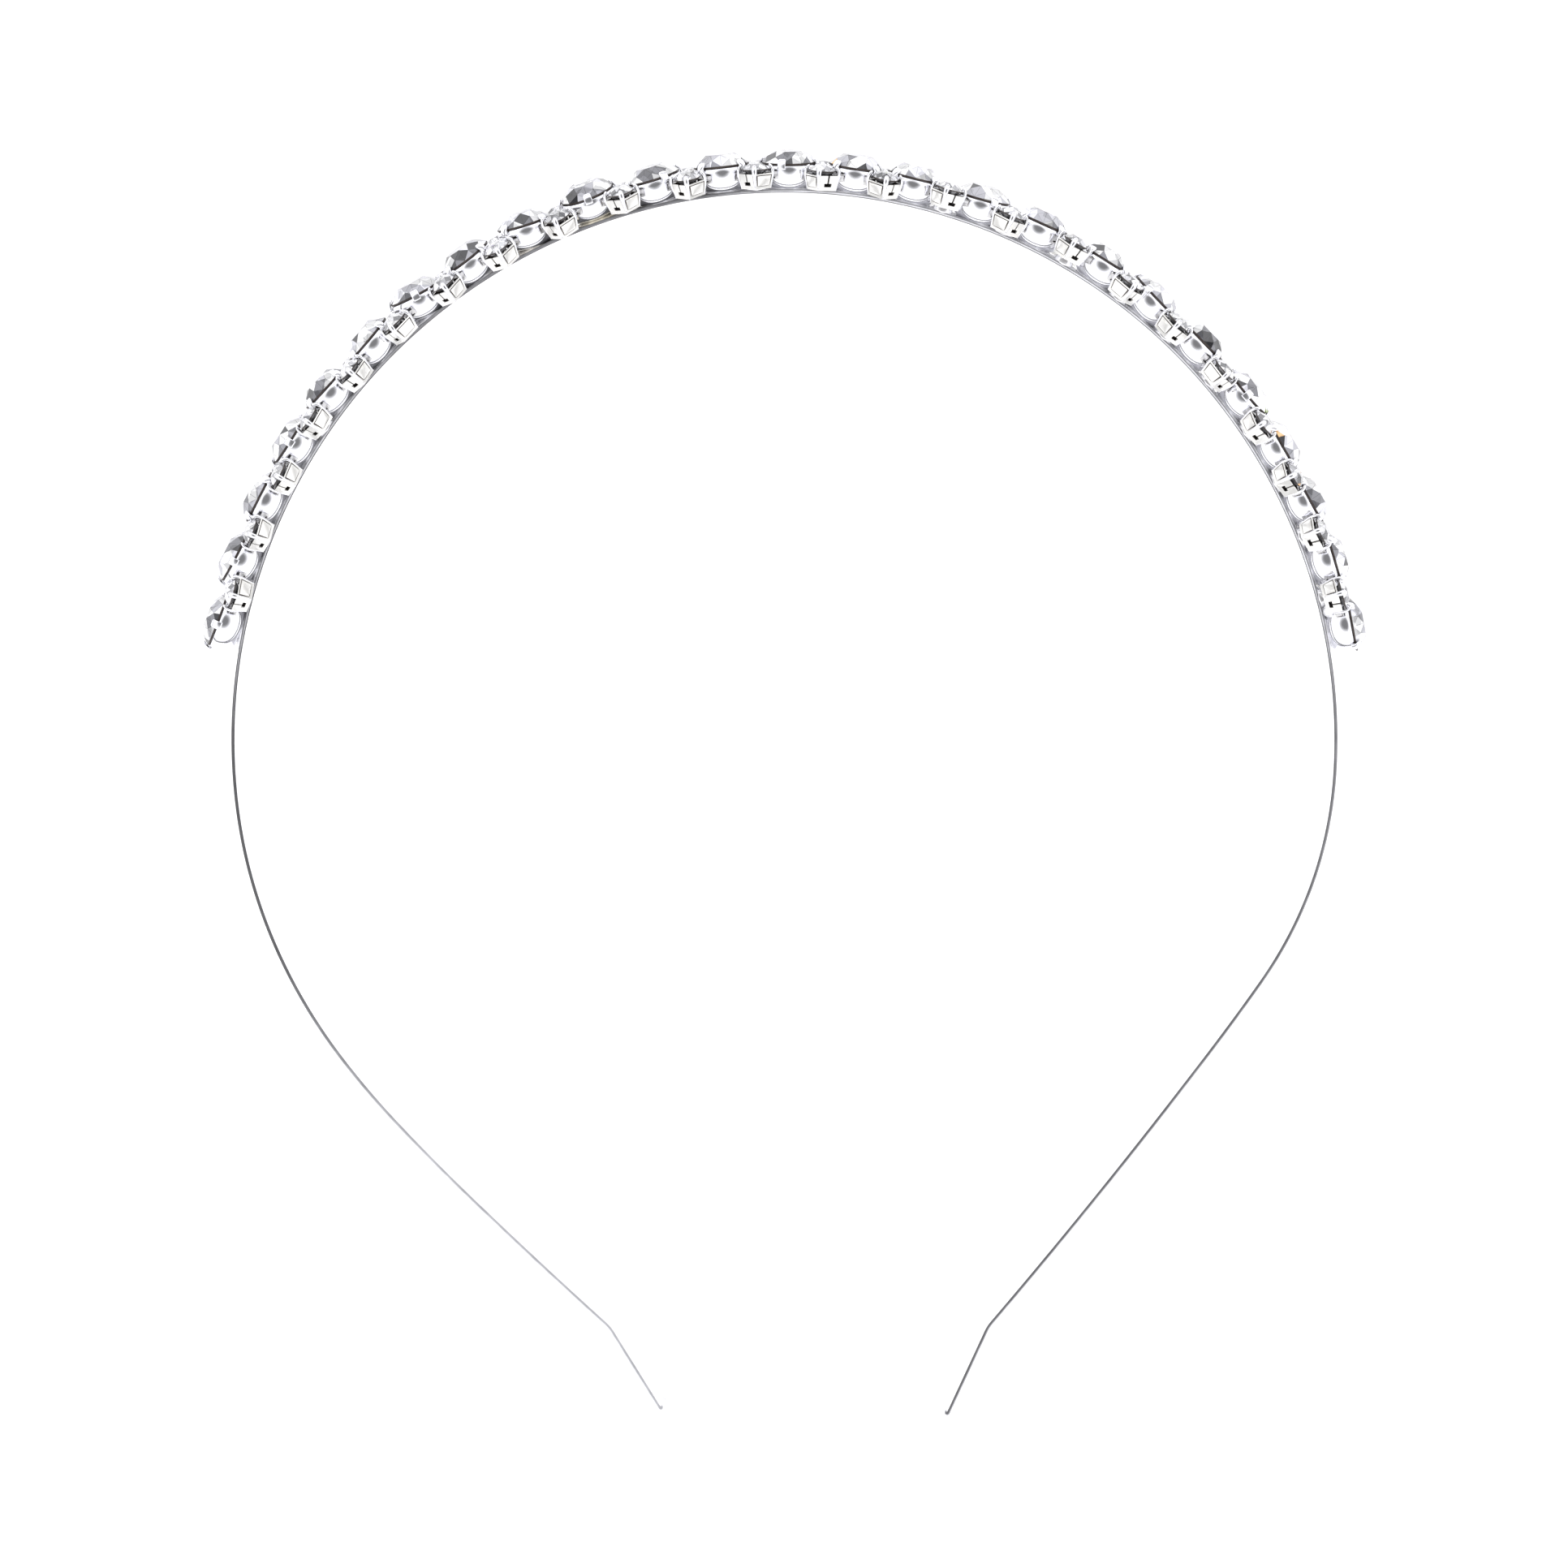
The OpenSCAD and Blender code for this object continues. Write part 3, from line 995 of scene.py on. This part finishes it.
@dataclass
class Mounds:
    """Solder between the strip and the cups: a mound under each cup, and a ball beside the last one."""

    large_half: Triple = (2.1, 2.35, 0.42)
    small_half: Triple = (0.75, 1.15, 1.0)
    over_rise: float = 0.25
    foot: float = 95.0
    edge_up: float = 1.5
    ball_r: float = 0.75
    ball_angle: float = 13.4
    ball_out: float = 0.75
    ball_up: float = 1.9
    ball_foot: float = 178.0

    @staticmethod
    def mound(half: Triple, low: float) -> Surface:
        """Part of an ellipsoid: x = a sin p cos q, y = b sin p sin q, z = c cos p.

        Args:
            half: half lengths a, b and c.
            low: degrees of p at its foot. It runs to nearly 0 at the top.

        Returns:
            The mound.
        """
        p = np.radians(np.linspace(low, 2, 8))[:, None]
        q = np.arange(20) * 2 * np.pi / 20
        a, b, c = half
        return tube(stacked(a * np.sin(p) * np.cos(q), b * np.sin(p) * np.sin(q), c * np.cos(p)))

    def surface(self, row: Row) -> Surface:
        """All the mounds, and the ball.

        Args:
            row: the row of stones.

        Returns:
            The solder.
        """
        parts = [self.mound(self.large_half, self.foot).copied(on_face(row.angles()))]
        for side in Side:
            flat = on_face(row.gaps()).shifted((-side.value * self.edge_up, 0, 0))
            scale = stacked(1, 1, row.raised(side) + self.over_rise)
            high = Stands(flat.origins, flat.axes * scale[:, None])
            parts.append(self.mound(self.small_half, self.foot).copied(high))
        ball = on_face(np.array([self.ball_angle])).shifted((-self.ball_up, 0, self.ball_out))
        parts.append(self.mound((self.ball_r,) * 3, self.ball_foot).copied(ball))
        return joined(parts)


class Facet(Enum):
    """Kinds of facet, each with its chances of each painted reflection, from white to near black."""

    PAVILION = (0.0, 0.0, 0.15, 0.35, 0.5)
    GIRDLE = (0.0, 0.0, 0.0, 0.0, 1.0)
    UPPER = (0.44, 0.28, 0.1, 0.1, 0.08)
    KITE = (0.44, 0.2, 0.1, 0.12, 0.14)
    STAR = (0.4, 0.34, 0.1, 0.1, 0.06)
    TABLE = (0.32, 0.26, 0.16, 0.14, 0.12)


# Painted reflections of the stones' facets: white highlight, lavender, greys and near black
PAINTED_FACET_LIGHT = np.array([(1, 1, 1), (0.85, 0.85, 0.91), (0.5, 0.5, 0.54), (0.22, 0.22, 0.24), (0.06, 0.06, 0.065)])
# Numbers of the dark painted reflections that facets turned across the strip draw from
DARK_REFLECTION_PICKS = (2, 3, 3, 4)
CROWN = (Facet.UPPER, Facet.KITE, Facet.STAR)
SMALL = (Facet.UPPER, Facet.TABLE)
# Painted glints of coloured fire
PAINTED_GLINTS = np.array([(0.35, 0.5, 1.0), (0.3, 0.9, 0.5), (0.75, 0.95, 0.3), (0.6, 0.45, 0.95), (1.0, 0.62, 0.3)])


@dataclass(frozen=True)
class Cut:
    """A round cut: a point below, a girdle of 16 sides, 8 kites and 8 star facets round a table.

    Among the crown's facets that face up or down across the strip by more than turned, a share gets painted
    dark reflections. Each painted reflection is raised to the power lift, below 1 for a paler stone.
    """

    radius: float
    girdle: float
    pavilion: float
    star_r: float
    table_r: float
    crown: float
    lift: float = 1.0
    turned: float = 0.72
    dark_reflection_share: float = 0.4
    spark_chance: float = 0.006
    inner_share: float = 0.55

    def points(self) -> Array:
        """Points of the stone: the culet, two rings of 16, three rings of 8, and the table's middle.

        The star points lie in the planes of the kites, which run straight from the table to the girdle. The
        last ring and the middle are flat in the table, where the pavilion's facets show through.

        Returns:
            Rows of x, y and z.
        """
        step = np.pi / 8
        top = self.girdle + self.crown
        fall = (self.star_r * np.cos(step) - self.table_r) * self.crown / (self.radius - self.table_r)
        rings = (
            (self.radius, 0.0, 16, 0.0), (self.radius, self.girdle, 16, 0.0),
            (self.star_r, top - fall, 8, step), (self.table_r, top, 8, 0.0),
            (self.table_r * self.inner_share, top, 8, step),
        )
        rows = [np.array([[0, 0, -self.pavilion]])]
        for r, z, count, start in rings:
            a = start + np.arange(count) * 2 * np.pi / count
            rows.append(stacked(r * np.cos(a), r * np.sin(a), z))
        return np.concatenate(rows + [np.array([[0, 0, top]])])

    def facets(self) -> list[tuple[Array, Facet]]:
        """Numbers the facets' points, by the order of points().

        Returns:
            Point numbers, anticlockwise from outside, and the kind of facet.
        """
        k, j = np.arange(16), np.arange(8)
        low, low_next = 1 + k, 1 + (k + 1) % 16
        high, high_next = low + 16, low_next + 16
        main, between, main_next = 17 + 2 * j, 18 + 2 * j, 17 + (2 * j + 2) % 16
        star, before = 33 + j, 33 + (j - 1) % 8
        table, table_next = 41 + j, 41 + (j + 1) % 8
        inner, inner_before = 49 + j, 49 + (j - 1) % 8
        return [
            (stacked(0, low_next, low), Facet.PAVILION),
            (stacked(low, low_next, high_next, high), Facet.GIRDLE),
            (stacked(main, between, star), Facet.UPPER),
            (stacked(between, main_next, star), Facet.UPPER),
            (stacked(main, star, table, before), Facet.KITE),
            (stacked(table, star, table_next), Facet.STAR),
            (stacked(table, table_next, inner), Facet.TABLE),
            (stacked(table, inner, inner_before), Facet.TABLE),
            (stacked(inner_before, inner, 57), Facet.TABLE),
        ]

    def surface(self) -> Surface:
        """The stone's flat facets, with finish 0 for crystal and 1 for the girdle's painted shade."""
        return Surface(self.points(), [(f, int(kind is Facet.GIRDLE), False) for f, kind in self.facets()])

    def tints(self, stands: Stands, rng: np.random.Generator) -> Array:
        """A painted reflection for each facet of each copy, drawn by the chances of its kind, with a rare
        painted glint of colour.

        A facet faces across the strip where its middle lies that way from the stone's axis. The painted
        glints come on small facets only.

        Args:
            stands: the stones' places.
            rng: a seeded source of chance.

        Returns:
            Rows of red, green, blue and 1, in the order of the copied faces.
        """
        rows = []
        for faces, kind in self.facets():
            count = len(faces) * len(stands.origins)
            middles = self.points()[faces].mean(axis=1)
            level = np.hypot(middles[:, 0], middles[:, 1])
            across = np.abs(stands.axes[:, 2, :2] @ middles[:, :2].T) / np.maximum(level, 0.01)
            pick = rng.choice(len(PAINTED_FACET_LIGHT), size=count, p=kind.value)
            # Facets turned across the strip get painted dark reflections
            deep = (across.ravel() > self.turned) & (rng.random(count) < self.dark_reflection_share)
            tone = PAINTED_FACET_LIGHT[np.where(deep & (kind in CROWN), rng.choice(DARK_REFLECTION_PICKS, size=count), pick)] ** self.lift
            spark = (rng.random(count) < self.spark_chance) & (kind in SMALL)
            tone = np.where(spark[:, None], PAINTED_GLINTS[rng.integers(len(PAINTED_GLINTS), size=count)], tone)
            rows.append(np.concatenate([tone, np.ones((count, 1))], axis=1))
        return np.concatenate(rows)


@dataclass
class Jewels:
    """The large and small stones, with their finishes."""

    large: Cut = Cut(radius=3.05, girdle=0.2, pavilion=2.0, star_r=2.45, table_r=1.6, crown=1.2)
    small: Cut = Cut(radius=1.45, girdle=0.12, pavilion=1.1, star_r=1.2, table_r=0.75, crown=0.6, lift=0.5)
    small_z: float = 1.96

    def place(self, row: Row, finishes: list[Material]) -> list[Object]:
        """Makes one piece for each large stone and one for each row of small ones.

        Args:
            row: the row of stones.
            finishes: crystal, and the girdle's painted shade.

        Returns:
            The pieces.
        """
        rng = np.random.default_rng(SEED)
        stands = row.large().shifted((0, 0, row.girdle_z))
        stones = []
        for i in range(len(stands.origins)):
            one = Stands(stands.origins[i:i + 1], stands.axes[i:i + 1])
            stones.append((f"crystal_{i + 1:02d}", f"large_stone_{i + 1:02d}", self.large, one))
        for side in Side:
            name = side.name.lower()
            at = row.small(side).shifted((0, 0, self.small_z))
            stones.append((f"crystals_{name}", f"small_stones_{name}", self.small, at))
        pieces = []
        for name, node, cut, at in stones:
            piece = shown(name, cut.surface().copied(at), finishes, cut.tints(at, rng))
            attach(piece, "root")
            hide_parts(node)
            pieces.append(piece)
        return pieces


@dataclass
class Studio:
    """White ground, soft light, and a far camera that looks down from a little beyond the top of the arch.

    The room is pale, with a dark place overhead, where the camera is, and a darker band low down. The camera
    itself sees a plain white backdrop.
    """

    distance: float = 5.0
    tilt: float = 6.0
    view_width: float = 0.17345
    centre: Pair = (-0.00005, 0.0003)
    sensor: float = 36.0
    clip: Pair = (0.05, 20.0)
    ground_half: float = 900.0
    dark_way: Colour = (0.0, 0.17, 0.985)
    dark_range: Pair = (0.78, 0.97)
    dark_tones: Pair = (1.0, 0.16)
    band_range: Pair = (0.05, 0.19)
    band_tones: tuple[Colour, Colour] = ((0.08, 0.08, 0.085), (1, 1, 1.02))
    strength: float = 1.45

    def floor(self) -> None:
        """Makes the ground, a square that is not attached to the object's root."""
        half = self.ground_half
        square = np.array([(-half, -half, 0), (half, -half, 0), (half, half, 0), (-half, half, 0)])
        surface = Surface(square, [(np.array([[0, 1, 2, 3]]), 0, False)])
        floor = shown("ground", surface, [WhiteGround("white_ground").build()])

    def world(self) -> None:
        """Makes the light.

        The brightness falls smoothly where a direction comes near to the dark place, and near the horizon.
        """
        world = bpy.data.worlds.new("studio")
        bpy.context.scene.world = world
        world.use_nodes = True
        tree = world.node_tree
        room = tree.nodes["Background"]
        put(room, {"Strength": self.strength})
        place = add(tree, "TexCoord")
        near = add(tree, "VectorMath", {1: self.dark_way}, operation="DOT_PRODUCT")
        spot = add_range(tree, self.dark_range, self.dark_tones)
        spot.interpolation_type = "SMOOTHSTEP"
        split = add(tree, "SeparateXYZ")
        band = add_ramp(tree, self.band_range, self.band_tones)
        both = add(tree, "VectorMath", operation="SCALE")
        seen = add(tree, "Mix", {MIX_SECOND: (1, 1, 1, 1)}, data_type="RGBA")
        link(place, "Generated", near, 0)
        link(near, "Value", spot, "Value")
        link(place, "Generated", split, "Vector")
        link(split, "Z", band, "Fac")
        link(band, "Color", both, 0)
        link(spot, "Result", both, "Scale")
        link(add(tree, "LightPath"), "Is Camera Ray", seen, "Factor")
        link(both, "Vector", seen, MIX_FIRST)
        link(seen, MIX_RESULT, room, "Color")

    def camera(self) -> None:
        """Puts the camera at its distance from the middle of the strip's upper edge, tilted off the vertical.

        It stands at distance times the sine of the tilt beyond that middle, and times the cosine above it.
        """
        data = bpy.data.cameras.new("overhead")
        data.sensor_width = self.sensor
        data.lens = self.sensor * self.distance / self.view_width
        data.clip_start, data.clip_end = self.clip
        camera = bpy.data.objects.new("overhead", data)
        x, y = self.centre
        edge = (LIE_Z + STRIP_W / 2) * MM
        tilt = np.radians(self.tilt)
        camera.location = (x, y + self.distance * np.sin(tilt), edge + self.distance * np.cos(tilt))
        camera.rotation_euler = (-tilt, 0, 0)
        bpy.context.scene.collection.objects.link(camera)
        bpy.context.scene.camera = camera

    def build(self) -> None:
        """Makes the ground, the light and the camera, and shows colours plainly."""
        self.floor()
        self.world()
        self.camera()
        bpy.context.scene.view_settings.view_transform = "Standard"


def metal(name: str, surface: Surface, materials: list[Material], **looks: Array | float) -> Object:
    """Makes a piece of the soldered metal, and lets it stand for the frame.

    Args:
        name: the piece's name.
        surface: its shape.
        materials: its finishes.
        looks: its painted light colours and bevel, as for shown().

    Returns:
        The piece.
    """
    piece = shown(name, surface, materials, **looks)
    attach(piece, "root")
    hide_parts("frame")
    return piece


def main() -> None:
    """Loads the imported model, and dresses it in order."""
    logging.basicConfig(level=logging.INFO, format="%(name)s: %(message)s")
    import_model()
    Studio().build()
    row = Row()
    plate = PolishedSilver("cup_plate").build()
    # Painted shade inside the cups, on the walls' backs, in the panels' grooves and on the girdles
    painted_shade_finish = PaintedShadePocket("pocket_painted_shade").build()
    satin = PolishedSilver(
        "square_cup_plate", colour=(0.97, 0.96, 0.925), smoothest=0.08, roughest=0.18, metallic=0.4,
    ).build()
    rolled = PolishedSilver("strip_plate", smoothest=0.12, roughest=0.3, marks=0.15, mark_scale=500.0).build()
    strip, small_cup = Strip(), SmallCup()
    pieces = [
        # The strip's upper edge and outer side behind the cups carry painted reflections and shade
        metal("strip", strip.surface(), [PaintedReflectionSilver("strip_painted_reflections").build(), rolled], tints=strip.tints()),
        metal("large_cups", LargeCup().surface(row.large()), [plate, painted_shade_finish]),
        metal("solder", Mounds().surface(row), [Solder("soft_solder").build()]),
    ]
    for side in Side:
        at = row.small(side)
        name = side.name.lower()
        pieces.append(metal(f"square_cups_{name}", small_cup.walls().copied(at), [satin, painted_shade_finish], bevel=0.04))
        pieces.append(metal(f"corner_claws_{name}", small_cup.corners().copied(at), [plate]))
    pieces += Jewels().place(row, [FoiledCrystal("foiled_crystal").build(), painted_shade_finish])
    for piece in pieces:
        LOG.info("%s: %d faces", piece.name, len(piece.data.polygons))
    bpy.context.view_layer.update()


if __name__ == "__main__":
    main()
